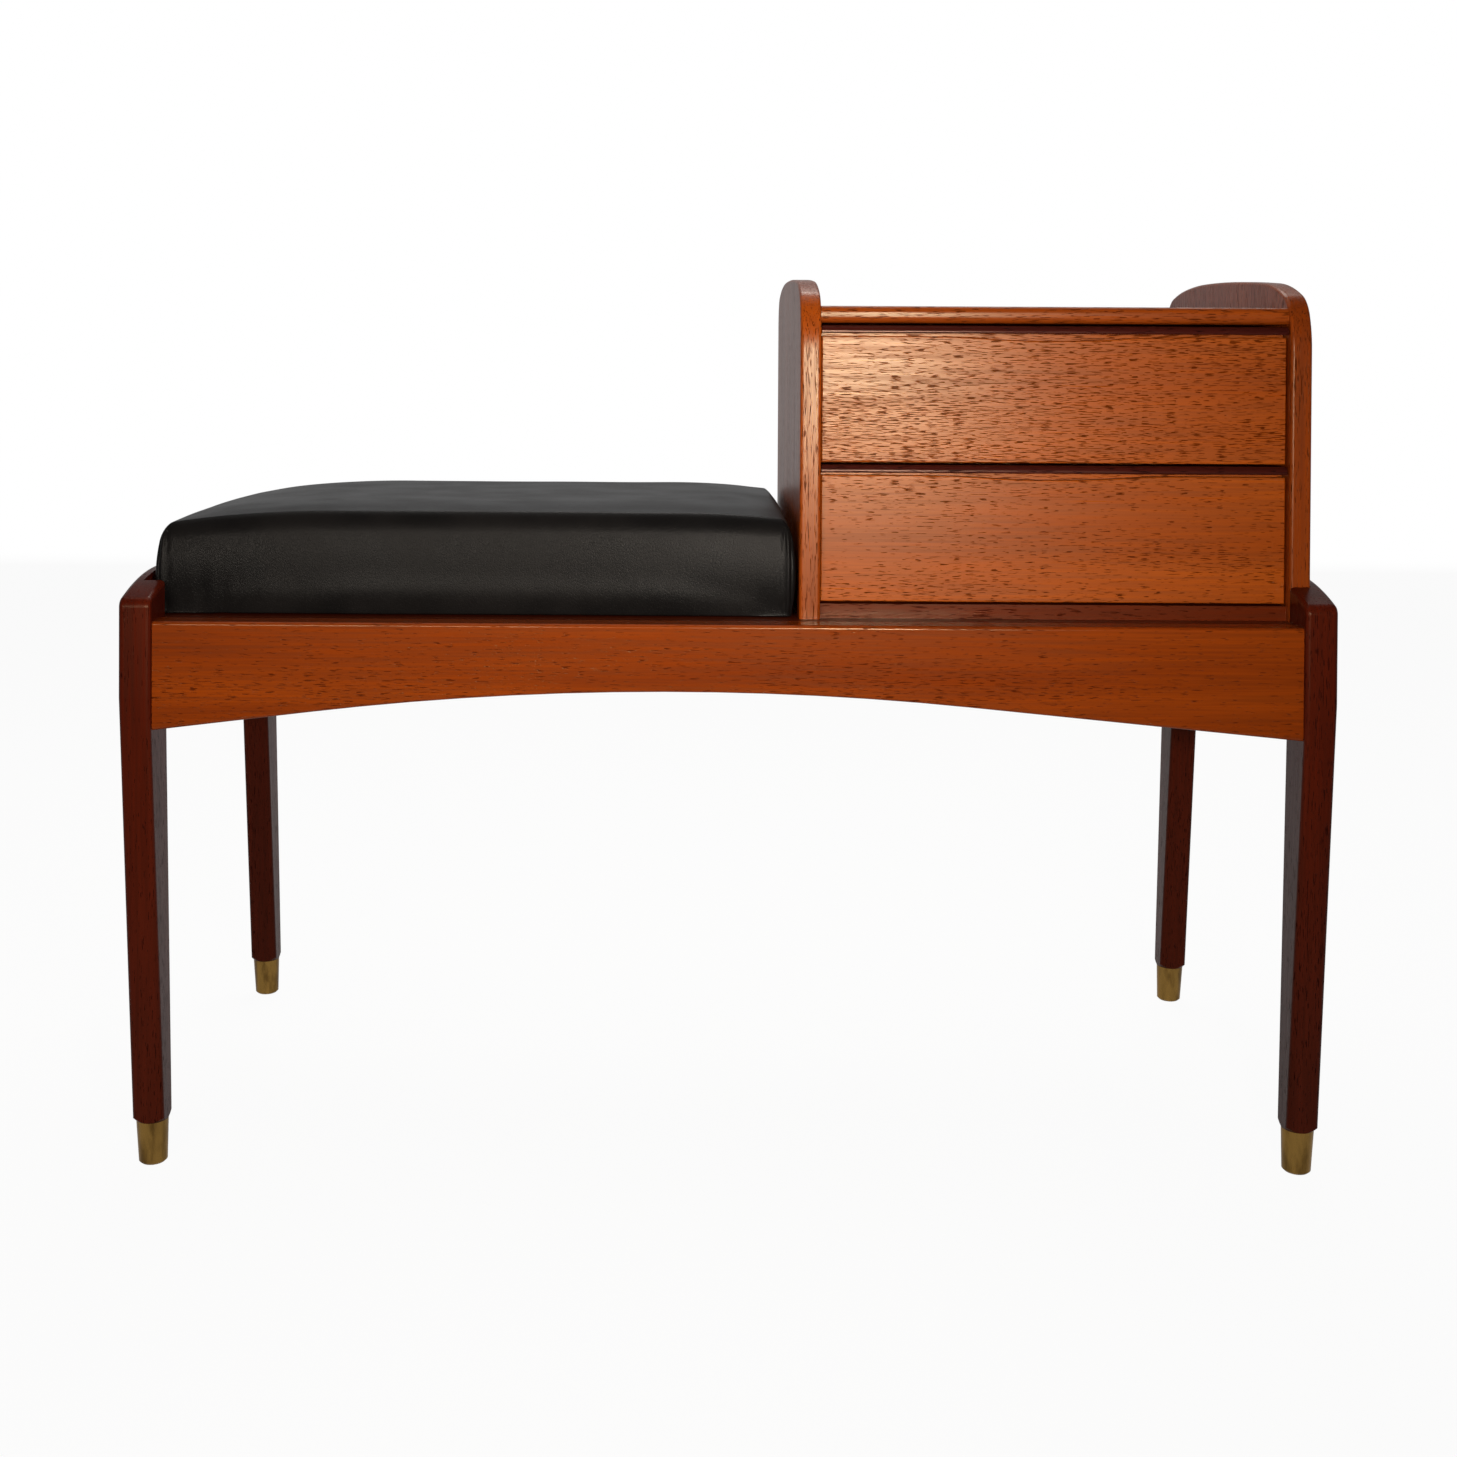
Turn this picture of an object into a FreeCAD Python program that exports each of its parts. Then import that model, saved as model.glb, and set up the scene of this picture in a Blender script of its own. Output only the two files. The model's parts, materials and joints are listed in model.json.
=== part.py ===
import FreeCAD, Part
import math
import os

# Telephone bench: an upholstered seat and a two-drawer box side by side on a
# four-legged teak frame. Millimetres, +X to the right, +Y to the back, +Z up.
# The origin is on the floor, under the middle of the bench.

V = FreeCAD.Vector

# Overall
bench_width = 900.0
bench_depth = 395.0
base_height = 408.0

# Clearances
fit_gap = 0.3
dowel_slack = 0.1

# Legs
leg_width = 24.0
leg_depth = 45.0
foot_width = 23.6
leg_lean = 9.2
foot_setback = 20.0
edge_round = 3.5

# Ferrules
ferrule_height = 32.0
ferrule_top_width = 23.6
ferrule_foot_width = 20.8
ferrule_wall = 1.0
ferrule_floor = 2.0
ferrule_chamfer = 1.4
turned_shoulder = 6.0

# Long rails
rail_thickness = 21.0
rail_setback = 4.5
rail_arris = 2.6
# The underside is one long arc, its crest left of the middle, between straight flanks
rail_waist = 50.2
rail_arc_radius = 2270.0
rail_arc_shift = -34.0
left_flank_angle = 6.97
right_flank_angle = 5.43

# End rails
end_rail_drop = 56.0
end_rail_rise = 32.0
shoulder_length = 88.0
shoulder_drop = 15.7
nose_round = 8.0

# Dowels in the frame
frame_dowel_width = 8.0
frame_dowel_length = 32.0
rail_dowel_in_leg = 14.0
rail_dowel_drops = (22.0, 58.0)
end_dowel_drops = (12.0, 42.0)

# Base panel, its cleats and corner blocks
base_thickness = 10.0
cleat_width = 15.0
cleat_height = 18.0
block_size = 40.0
block_shoulder = 12.0
block_height = 30.0
block_screw_offset = 30.0
block_screw_seat = 10.0
cleat_screw_pitch = 300.0

# Screws
screw_shank = 4.0
screw_head = 8.0
screw_head_height = 2.4
screw_bite = 9.0

# Seat cushion
cushion_height = 83.0
cushion_setback = 39.0
cushion_back_gap = 2.0
cushion_side_gap = 4.7
cushion_box_gap = 0.4
cushion_corner = 14.0
cushion_top_corner = 26.0
cushion_rim_round = 16.0
crown_radius = 4500.0
crown_end_radius = 1000.0
crown_end_length = 145.0
cover_thickness = 1.2
cover_hem = 40.0
seat_board_thickness = 10.0
seat_board_inset = 7.5
seat_screw_to_hem = 10.0
# How far the sides draw in, each with its height as a share of the cushion's
skirt_draw = ((5.0, 0.0), (1.2, 0.13), (0.0, 0.42), (1.5, 0.66), (4.0, 0.85), (7.0, 1.05))

# Drawer box
box_width = 386.3
box_setback = 36.5
side_thickness = 16.0
side_rise = 27.4
side_round = 2.5
top_thickness = 13.0
top_setback = 6.5
top_round = 5.0
bottom_thickness = 11.0
bottom_setback = 7.5
back_thickness = 5.0
back_let_in = 6.0
# Radius of each arc that turns an upright edge inwards, and the angle that it turns to.
# From the front edge one long arc more runs up to the crest.
front_shoulder = ((71.0, 22.5), (29.0, 69.2), (167.5, 85.8))
rear_shoulder = ((29.0, 76.7), (268.0, 84.5), (662.0, 90.0))
box_dowel_width = 6.0
box_dowel_length = 22.0
box_dowel_in_side = 8.0
box_dowel_inset = 50.0
box_screw_inset = 48.0
pin_width = 1.6
pin_head = 3.2
pin_head_height = 1.0
pin_length = 13.0
pin_inset = 40.0

# Drawers
drawer_height = 104.5
drawer_gap = 1.6
drawer_side_gap = 0.7
drawer_back_gap = 11.0
drawer_face_setback = 9.5
front_thickness = 16.0
front_arris = 1.0
lip_height = 6.0
lip_proud = 5.0
lip_round = 4.5
lip_under_round = 1.0
groove_mouth = 2.2
groove_depth = 9.0
dip_width = 200.0
dip_depth = 3.2
drawer_side_thickness = 11.0
drawer_side_height = 88.0
drawer_side_lift = 2.0
drawer_back_inset = 6.0
drawer_back_let_in = 4.0
drawer_bottom_thickness = 4.0
drawer_bottom_lift = 5.0
drawer_bottom_let_in = 4.0
drawer_bottom_slack = 0.2
tail_count = 3
tail_length = 8.0
tail_neck = 14.0
tail_angle = 10.0

# Drawer runners
runner_height = 11.4
runner_slot_depth = 6.0
runner_slack = 0.3
runner_screw_inset = 35.0


def rail_end_height(reach, angle):
    """Height of a long rail at an end, a reach away from the crest, by the angle of its flank."""
    turn = math.radians(angle)
    return rail_waist + reach * math.tan(turn) - rail_arc_radius * (1 / math.cos(turn) - 1)


# Worked out
half_width = bench_width / 2
half_depth = bench_depth / 2
leg_inner = half_width - leg_width
leg_middle = half_width - leg_width / 2
rail_left_bottom = base_height - rail_end_height(leg_inner + rail_arc_shift, left_flank_angle)
rail_right_bottom = base_height - rail_end_height(leg_inner - rail_arc_shift, right_flank_angle)
rail_bottom = min(rail_left_bottom, rail_right_bottom)
rail_front = -half_depth + rail_setback
rail_back = rail_front + rail_thickness
end_rail_bottom = base_height - end_rail_drop
end_rail_top = base_height + end_rail_rise
lip_inner = half_width - leg_width + side_thickness
base_underside = base_height - base_thickness

box_right = lip_inner - fit_gap
box_left = box_right - box_width
box_front = -half_depth + box_setback
box_back = half_depth - rail_setback
box_middle_y = (box_front + box_back) / 2
opening_left = box_left + side_thickness
opening_right = box_right - side_thickness
opening_bottom = base_height + bottom_thickness
opening_height = 2 * drawer_height + 3 * drawer_gap
opening_top = opening_bottom + opening_height
tray_height = opening_top + top_thickness
box_top = tray_height + side_rise
back_inner = box_back - back_thickness
back_top = opening_top + back_let_in

drawer_left = opening_left + drawer_side_gap
drawer_right = opening_right - drawer_side_gap
face_front = box_front + drawer_face_setback
face_back = face_front + front_thickness
drawer_end = back_inner - drawer_back_gap
lower_drawer_bottom = opening_bottom + drawer_gap
upper_drawer_bottom = lower_drawer_bottom + drawer_height + drawer_gap
runner_slot_height = runner_height + 2 * runner_slack

cushion_left = -lip_inner + cushion_side_gap
cushion_right = box_left - cushion_box_gap
cushion_front = -half_depth + cushion_setback
cushion_back = box_back - cushion_back_gap
board_bottom = base_height + cover_thickness
board_top = board_bottom + seat_board_thickness


def block(x0, x1, y0, y1, z0, z1):
    """Solid between two corners."""
    return Part.makeBox(x1 - x0, y1 - y0, z1 - z0, V(x0, y0, z0))


def rod(width, start, direction, length):
    """Round bar of a diameter, from a point along a direction."""
    return Part.makeCylinder(width / 2, length, start, direction)


def prism(points, sweep):
    """Polygon swept along a vector."""
    return Part.Face(Part.makePolygon(points + points[:1])).extrude(sweep)


def line(first, last):
    return Part.LineSegment(first, last).toShape()


def arc(first, middle, last):
    return Part.Arc(first, middle, last).toShape()


def rounded_rectangle(x0, x1, y0, y1, z, radius):
    """Wire of four lines and four quarter arcs at one height."""
    arc_mid = radius * (1 - math.sqrt(0.5))
    corners = (
        (x1, y0, -1, 1),
        (x1, y1, -1, -1),
        (x0, y1, 1, -1),
        (x0, y0, 1, 1),
    )
    edges = []
    last = V(x0 + radius, y0, z)
    for index, (x, y, inward_x, inward_y) in enumerate(corners):
        along_x = V(x + inward_x * radius, y, z)
        along_y = V(x, y + inward_y * radius, z)
        middle = V(x + inward_x * arc_mid, y + inward_y * arc_mid, z)
        start, end = (along_x, along_y) if index % 2 == 0 else (along_y, along_x)
        edges.append(line(last, start))
        edges.append(arc(start, middle, end))
        last = end
    return Part.Wire(edges)


def circle_wire(x, y, z, radius):
    return Part.Wire(Part.makeCircle(radius, V(x, y, z)))


def mirrored_x(shape):
    return shape.mirror(V(0, 0, 0), V(1, 0, 0))


def mirrored_y(shape):
    return shape.mirror(V(0, 0, 0), V(0, 1, 0))


def rounded(shape, radius, picks):
    """Fillet of the edges that a test picks."""
    return shape.makeFillet(radius, [edge for edge in shape.Edges if picks(edge)])


def lies_at(edge, axis, value):
    """Whether every point of an edge has the same coordinate on an axis."""
    low = getattr(edge.BoundBox, axis + "Min")
    high = getattr(edge.BoundBox, axis + "Max")
    return abs(low - value) < 0.01 and abs(high - value) < 0.01


def joined(solids):
    """Group of separate solids in one node."""
    return Part.makeCompound(solids)


def screw(seat, direction, length):
    """Countersunk wood screw whose head face lies at the seat point."""
    head = Part.makeCone(screw_head / 2, screw_shank / 2, screw_head_height, seat, direction)
    shank_start = seat + direction * screw_head_height
    return head.fuse(rod(screw_shank, shank_start, direction, length - screw_head_height))


# Frame

def leg_axis(z):
    """Middle X and Y of the front right leg at a height below the end rail."""
    share = (end_rail_bottom - z) / end_rail_bottom
    setback = leg_depth / 2 + (foot_setback - leg_depth / 2) * share
    return leg_middle - leg_lean * share, setback - half_depth


def leg_bounds(z):
    """Outer and inner X, front and back Y of the front right leg at a height."""
    x, y = leg_axis(z)
    slim = (end_rail_bottom - z) / (end_rail_bottom - ferrule_height)
    width = leg_width + (foot_width - leg_width) * slim
    depth = leg_depth + (foot_width - leg_depth) * slim
    inner = leg_inner if z >= rail_bottom else x - width / 2
    return x + width / 2, inner, y - depth / 2, y + depth / 2


def end_frame_top():
    """Right end above the rail's underside: two leg tops and the end rail as one arched piece.

    Behind the box's front edge it is rebated down to the base, with a lip left outside.
    """
    radius = (shoulder_length ** 2 + shoulder_drop ** 2) / (2 * shoulder_drop)
    half_turn = math.asin(shoulder_length / radius) / 2
    flat_y = half_depth - shoulder_length
    arc_y = flat_y + radius * math.sin(half_turn)
    arc_z = end_rail_top - radius * (1 - math.cos(half_turn))
    nose_z = end_rail_top - shoulder_drop

    def at(y, z):
        return V(leg_inner, y, z)

    outline = Part.Wire([
        line(at(-half_depth, end_rail_bottom), at(-half_depth, nose_z)),
        arc(at(-half_depth, nose_z), at(-arc_y, arc_z), at(-flat_y, end_rail_top)),
        line(at(-flat_y, end_rail_top), at(flat_y, end_rail_top)),
        arc(at(flat_y, end_rail_top), at(arc_y, arc_z), at(half_depth, nose_z)),
        line(at(half_depth, nose_z), at(half_depth, end_rail_bottom)),
        line(at(half_depth, end_rail_bottom), at(-half_depth, end_rail_bottom)),
    ])
    blank = Part.Face(outline).extrude(V(leg_width, 0, 0))

    def is_nose(edge):
        return lies_at(edge, "Z", nose_z)

    def is_side_edge(edge):
        on_side = lies_at(edge, "X", leg_inner) or lies_at(edge, "X", half_width)
        return on_side and not lies_at(edge, "Z", end_rail_bottom)

    blank = rounded(rounded(blank, nose_round, is_nose), edge_round, is_side_edge)
    return blank.cut(block(leg_inner, lip_inner, box_front - fit_gap, bench_depth,
                           base_height, end_rail_top))


def rail_dowels_right_front():
    """Dowels that hold the front rail and the right end rail to the front right leg."""
    dowels = []
    rail_middle = (rail_front + rail_back) / 2
    for drop in rail_dowel_drops:
        start = V(leg_inner + rail_dowel_in_leg, rail_middle, base_height - drop)
        dowels.append((start, V(-1, 0, 0)))
    for drop in end_dowel_drops:
        start = V(leg_middle, leg_depth - half_depth - frame_dowel_length / 2, base_height - drop)
        dowels.append((start, V(0, 1, 0)))
    return dowels


def frame_dowel(start, direction):
    return rod(frame_dowel_width, start, direction, frame_dowel_length)


def frame_dowel_hole(start, direction):
    """Blind hole for a dowel, as wide and long as the dowel and its slack."""
    width = frame_dowel_width + 2 * dowel_slack
    length = frame_dowel_length + 2 * dowel_slack
    return rod(width, start - direction * dowel_slack, direction, length)


def end_frame_part(top, y0, y1):
    """The part of the arched top piece between two depths."""
    return top.common(block(leg_inner, half_width, y0, y1, end_rail_bottom, end_rail_top))


def front_right_taper():
    """Leg below the end rail: tapered and leaning in, with turned shoulder and ferrule tenon."""
    sections = []
    for z in (end_rail_bottom, rail_bottom, ferrule_height):
        outer, inner, front, back = leg_bounds(z)
        sections.append(rounded_rectangle(inner, outer, front, back, z, edge_round))
    taper = Part.makeLoft(sections, True, True)

    x, y = leg_axis(ferrule_height)
    collar = block(x - leg_depth, x + leg_depth, y - leg_depth, y + leg_depth,
                   ferrule_height, ferrule_height + turned_shoulder)
    cone = Part.makeCone(ferrule_top_width / 2, ferrule_top_width / 2 + turned_shoulder,
                         turned_shoulder, V(x, y, ferrule_height))
    tenon = ferrule_fill(ferrule_wall + dowel_slack, ferrule_floor + fit_gap)
    return taper.cut(collar.cut(cone)).fuse(tenon)


def ferrule_radius(z):
    """Outer radius of the tapering ferrule at a height."""
    taper = (ferrule_top_width - ferrule_foot_width) / 2 / ferrule_height
    return ferrule_foot_width / 2 + taper * z


def ferrule_fill(inset, floor):
    """Leaning taper of the ferrule, drawn in by an inset and starting at a height."""
    wires = [circle_wire(*leg_axis(z), z, ferrule_radius(z) - inset) for z in (floor, ferrule_height)]
    return Part.makeLoft(wires, True, True)


def front_right_ferrule():
    """Closed brass cup with a chamfered foot."""
    wires = [circle_wire(*leg_axis(0), 0, ferrule_radius(0) - ferrule_chamfer)]
    for z in (ferrule_chamfer, ferrule_height):
        wires.append(circle_wire(*leg_axis(z), z, ferrule_radius(z)))
    return Part.makeLoft(wires, True, True).cut(ferrule_fill(ferrule_wall, ferrule_floor))


def front_rail():
    """Rail with straight flanks that run into one long arc under it."""
    axis_z = base_height - rail_waist - rail_arc_radius

    def at(x, z):
        return V(x, rail_front, z)

    def on_arc(angle):
        turn = math.radians(angle)
        return at(rail_arc_shift + rail_arc_radius * math.sin(turn),
                  axis_z + rail_arc_radius * math.cos(turn))

    left_end = on_arc(-left_flank_angle)
    right_end = on_arc(right_flank_angle)
    outline = Part.Wire([
        line(at(-leg_inner, base_height), at(-leg_inner, rail_left_bottom)),
        line(at(-leg_inner, rail_left_bottom), left_end),
        arc(left_end, on_arc(0), right_end),
        line(right_end, at(leg_inner, rail_right_bottom)),
        line(at(leg_inner, rail_right_bottom), at(leg_inner, base_height)),
        line(at(leg_inner, base_height), at(-leg_inner, base_height)),
    ])
    rail = Part.Face(outline).extrude(V(0, rail_thickness, 0))

    def is_front_arris(edge):
        upright = lies_at(edge, "X", -leg_inner) or lies_at(edge, "X", leg_inner)
        return lies_at(edge, "Y", rail_front) and not upright

    return rounded(rail, rail_arris, is_front_arris)


def right_end_rail(top):
    """Rail between the legs, with its lower long edges rounded."""
    reach = half_depth - leg_depth
    rail = end_frame_part(top, -reach, reach)

    def is_lower_arris(edge):
        at_joint = lies_at(edge, "Y", -reach) or lies_at(edge, "Y", reach)
        return lies_at(edge, "Z", end_rail_bottom) and not at_joint

    return rounded(rail, rail_arris, is_lower_arris)


def make_frame():
    """Legs, ferrules, rails and the dowels between them."""
    top = end_frame_top()
    taper = front_right_taper()
    dowels = rail_dowels_right_front()
    holes = [frame_dowel_hole(*dowel) for dowel in dowels]
    holes += [mirrored_y(hole) for hole in holes]
    holes += [mirrored_x(hole) for hole in holes]
    pegs = [frame_dowel(*dowel) for dowel in dowels]
    pegs += [mirrored_y(peg) for peg in pegs]
    pegs += [mirrored_x(peg) for peg in pegs]

    front_top = end_frame_part(top, -half_depth, leg_depth - half_depth)
    rear_top = end_frame_part(top, half_depth - leg_depth, half_depth)
    front_leg = front_top.fuse(taper).cut(holes)
    rear_leg = rear_top.fuse(mirrored_y(taper)).cut(holes)
    ferrule = front_right_ferrule()
    rail = front_rail().cut(holes)
    end_rail = right_end_rail(top).cut(holes)
    return {
        "front_right_leg": front_leg,
        "rear_right_leg": rear_leg,
        "front_left_leg": mirrored_x(front_leg),
        "rear_left_leg": mirrored_x(rear_leg),
        "front_right_ferrule": ferrule,
        "rear_right_ferrule": mirrored_y(ferrule),
        "front_left_ferrule": mirrored_x(ferrule),
        "rear_left_ferrule": mirrored_x(mirrored_y(ferrule)),
        "front_rail": rail,
        "rear_rail": mirrored_y(rail),
        "right_end_rail": end_rail,
        "left_end_rail": mirrored_x(end_rail),
        "frame_dowels": joined(pegs),
    }


# Base

def corner_block_screws():
    """Screws of the front right corner block, one into each rail."""
    z = base_underside - block_height / 2
    to_rail = screw(V(leg_inner - block_screw_offset, rail_back + block_screw_seat, z),
                    V(0, -1, 0), block_screw_seat + screw_bite)
    to_end = screw(V(leg_inner - block_screw_seat, rail_back + block_screw_offset, z),
                   V(1, 0, 0), block_screw_seat + screw_bite)
    return [to_rail, to_end]


def front_right_block():
    """Corner block with its screw heads sunk in flat-bottomed holes."""
    z0 = base_underside - block_height
    x, y = leg_inner, rail_back
    outline = [
        V(x, y, z0),
        V(x, y + block_size, z0),
        V(x - block_shoulder, y + block_size, z0),
        V(x - block_size, y + block_shoulder, z0),
        V(x - block_size, y, z0),
    ]
    solid = prism(outline, V(0, 0, block_height))
    z = base_underside - block_height / 2
    access = screw_head + 2 * fit_gap
    rail_hole = rod(access, V(x - block_screw_offset, y + block_screw_seat, z), V(0, 1, 0), block_size)
    end_hole = rod(access, V(x - block_screw_seat, y + block_screw_offset, z), V(-1, 0, 0), block_size)
    return solid.cut([rail_hole, end_hole])


def front_cleat_screws():
    """Screws from the cleat into the front rail."""
    z = base_underside - cleat_height / 2
    return [screw(V(x, rail_back + cleat_width, z), V(0, -1, 0), cleat_width + screw_bite)
            for x in (-cleat_screw_pitch, 0, cleat_screw_pitch)]


def front_cleat():
    """Strip along the inside of the front rail, between the corner blocks."""
    reach = leg_inner - block_size - fit_gap
    return block(-reach, reach, rail_back, rail_back + cleat_width,
                 base_underside - cleat_height, base_underside)


def spread(low, high, inset):
    """Two places, an inset in from each end of a span."""
    return low + inset, high - inset


def fixing_screws(xs, ys, top):
    """Four screws up through the base, at two X and two Y, into what stands on it."""
    length = top - base_underside
    return [screw(V(x, y, base_underside), V(0, 0, 1), length) for x in xs for y in ys]


def make_base(nodes):
    """Base panel, cleats, corner blocks and their screws, which also cut the rails."""
    block_screws = corner_block_screws()
    block_screws += [mirrored_y(item) for item in block_screws]
    block_screws += [mirrored_x(item) for item in block_screws]
    cleat_screws = front_cleat_screws()
    cleat_screws += [mirrored_y(item) for item in cleat_screws]

    corner = front_right_block().cut(block_screws)
    cleat = front_cleat().cut(cleat_screws)
    reach_y = -rail_back - fit_gap
    reach_x = leg_inner - fit_gap
    panel = block(-reach_x, reach_x, -reach_y, reach_y, base_underside, base_height)

    for name in ("front_rail", "rear_rail", "right_end_rail", "left_end_rail"):
        nodes[name] = nodes[name].cut(block_screws + cleat_screws)
    nodes.update({
        "front_right_corner_block": corner,
        "rear_right_corner_block": mirrored_y(corner),
        "front_left_corner_block": mirrored_x(corner),
        "rear_left_corner_block": mirrored_x(mirrored_y(corner)),
        "front_cleat": cleat,
        "rear_cleat": mirrored_y(cleat),
        "corner_block_screws": joined(block_screws),
        "cleat_screws": joined(cleat_screws),
        "base_panel": panel,
    })


# Seat

def crown_form(skin):
    """Everything under the crowned top, which arches across and falls away towards both ends."""
    top = base_height + cushion_height - skin
    middle_x = (cushion_left + cushion_right) / 2
    middle_y = (cushion_front + cushion_back) / 2
    flat = (cushion_right - cushion_left) / 2 - crown_end_length
    radius = crown_radius - skin
    end_radius = crown_end_radius - skin
    reach = (cushion_back - cushion_front) / 2 + skin
    sag = radius - math.sqrt(radius ** 2 - reach ** 2)
    floor = base_height - cushion_height

    def at(y, z):
        return V(middle_x - flat, middle_y + y, z)

    outline = Part.Wire([
        arc(at(-reach, top - sag), at(0, top), at(reach, top - sag)),
        line(at(reach, top - sag), at(reach, floor)),
        line(at(reach, floor), at(-reach, floor)),
        line(at(-reach, floor), at(-reach, top - sag)),
    ])
    section = Part.Face(outline)
    axis_z = top - end_radius
    turn = 2 * math.degrees(math.asin(crown_end_length / end_radius))
    far_section = section.translated(V(2 * flat, 0, 0))
    middle = section.extrude(V(2 * flat, 0, 0))
    left = section.revolve(V(middle_x - flat, 0, axis_z), V(0, -1, 0), turn)
    right = far_section.revolve(V(middle_x + flat, 0, axis_z), V(0, 1, 0), turn)
    return middle.fuse([left, right])


def cushion_form(skin):
    """Crowned pad with drawn-in sides and a rounded rim, shrunk all round by a skin."""
    sections = []
    for draw_in, share in skirt_draw:
        inset = draw_in + skin
        corner = cushion_corner + (cushion_top_corner - cushion_corner) * min(share, 1.0) - skin
        sections.append(rounded_rectangle(
            cushion_left + inset, cushion_right - inset,
            cushion_front + inset, cushion_back - inset,
            base_height + skin + cushion_height * share, corner))
    pad = Part.makeLoft(sections, True, False).common(crown_form(skin))

    def is_rim(edge):
        middle = edge.CenterOfMass
        inset = min(middle.x - cushion_left, cushion_right - middle.x,
                    middle.y - cushion_front, cushion_back - middle.y)
        return edge.BoundBox.ZMin > base_height + cushion_height / 2 and inset < cushion_top_corner

    return rounded(pad, cushion_rim_round - skin, is_rim)


def seat_board_outline(inset, z, radius):
    return Part.Face(rounded_rectangle(
        cushion_left + inset, cushion_right - inset,
        cushion_front + inset, cushion_back - inset, z, radius))


def make_seat(nodes):
    """Board, foam and the cover that is turned in under the board."""
    inset = cover_hem + seat_screw_to_hem
    screws = fixing_screws(spread(cushion_left, cushion_right, inset),
                           spread(cushion_front, cushion_back, inset), board_bottom + screw_bite)
    board = seat_board_outline(seat_board_inset, board_bottom, cushion_corner)
    board = board.extrude(V(0, 0, seat_board_thickness))
    under_hem = seat_board_outline(cover_hem, base_height - fit_gap, cushion_corner)
    window = under_hem.extrude(V(0, 0, cover_thickness + 2 * fit_gap))
    cover = cushion_form(0).cut([cushion_form(cover_thickness), window])
    foam_space = block(-bench_width, bench_width, -bench_depth, bench_depth,
                       board_top, board_top + cushion_height)
    foam = cushion_form(cover_thickness + fit_gap).common(foam_space)

    nodes["base_panel"] = nodes["base_panel"].cut(screws)
    nodes.update({
        "seat_board": board.cut(screws),
        "seat_foam": foam,
        "seat_cover": cover,
        "seat_screws": joined(screws),
    })


# Drawer box

def shoulder_points(arcs):
    """Start, middle and end of tangent arcs that turn an upright edge inwards, as reach and rise."""
    points = [(0.0, 0.0)]
    start = 0.0
    for radius, turned_to in arcs:
        reach, rise = points[-1]
        end = math.radians(turned_to)
        for heading in ((start + end) / 2, end):
            points.append((reach + radius * (math.cos(start) - math.cos(heading)),
                           rise + radius * (math.sin(heading) - math.sin(start))))
        start = end
    return points


def side_outline(x):
    """Side panel's outline: both upright edges turn through arcs into a long crest nearer the back."""
    rear = shoulder_points(rear_shoulder)
    crest_y = box_back - rear[-1][0]
    reach_left = crest_y - box_front - shoulder_points(front_shoulder)[-1][0]
    long_radius = reach_left / math.cos(math.radians(front_shoulder[-1][1]))
    front = shoulder_points((*front_shoulder, (long_radius, 90.0)))

    def shoulder(points, edge_y, inward):
        foot_z = box_top - points[-1][1]
        return [V(x, edge_y + inward * reach, foot_z + rise) for reach, rise in points]

    def arcs(points):
        return [arc(*points[first:first + 3]) for first in range(0, len(points) - 2, 2)]

    front = shoulder(front, box_front, 1)
    rear = shoulder(rear, box_back, -1)
    front_foot = V(x, box_front, base_height)
    rear_foot = V(x, box_back, base_height)
    return Part.Wire([
        line(front_foot, front[0]),
        *arcs(front),
        *arcs(rear[::-1]),
        line(rear[0], rear_foot),
        line(rear_foot, front_foot),
    ])


def side_panel(x0, inner_x):
    """Upright side with rounded edges and a rebate for the back panel on its inner face."""
    panel = Part.Face(side_outline(x0)).extrude(V(side_thickness, 0, 0))

    def is_outline_edge(edge):
        on_face = lies_at(edge, "X", x0) or lies_at(edge, "X", x0 + side_thickness)
        return on_face and not lies_at(edge, "Z", base_height)

    panel = rounded(panel, side_round, is_outline_edge)
    rebate = block(inner_x - back_let_in, inner_x + back_let_in, back_inner, box_back,
                   base_height, back_top)
    return panel.cut(rebate)


def box_dowels(width, slack):
    """Dowels from both side panels into the top and bottom panels."""
    dowels = []
    top_middle = opening_top + top_thickness / 2
    bottom_middle = base_height + bottom_thickness / 2
    for z in (top_middle, bottom_middle):
        for y in (*spread(box_front, box_back, box_dowel_inset), box_middle_y):
            length = box_dowel_length + 2 * slack
            left = V(opening_left - box_dowel_in_side - slack, y, z)
            right = V(opening_right + box_dowel_in_side + slack, y, z)
            dowels.append(rod(width, left, V(1, 0, 0), length))
            dowels.append(rod(width, right, V(-1, 0, 0), length))
    return dowels


def back_pins(slack):
    """Headed pins through the back panel into the panels round it."""
    places = []
    middle_x = (opening_left + opening_right) / 2
    side_x = spread(opening_left, opening_right, -back_let_in / 2)
    for x in (*spread(opening_left, opening_right, pin_inset), middle_x):
        places.append((x, base_height + bottom_thickness / 2))
        places.append((x, opening_top + back_let_in / 2))
    for x in side_x:
        for z in spread(opening_bottom, opening_top, pin_inset):
            places.append((x, z))
    pins = []
    for x, z in places:
        head = rod(pin_head + 2 * slack, V(x, box_back, z), V(0, -1, 0), pin_head_height)
        shank = rod(pin_width + 2 * slack, V(x, box_back, z), V(0, -1, 0), pin_length + slack)
        pins.append(head.fuse(shank))
    return pins


def top_panel():
    """Tray top with a rounded front edge, rebated behind for the back panel."""
    front = box_front + top_setback
    panel = block(opening_left, opening_right, front, box_back, opening_top, tray_height)

    def is_long_front(edge):
        return lies_at(edge, "Y", front) and edge.Length > box_width / 2

    panel = rounded(panel, top_round, is_long_front)
    return panel.cut(block(opening_left, opening_right, back_inner, box_back, opening_top, back_top))


def runner_mid(bottom):
    """Height of a drawer's runner, at the middle of the drawer's sides."""
    return bottom + drawer_side_lift + drawer_side_height / 2


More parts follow.
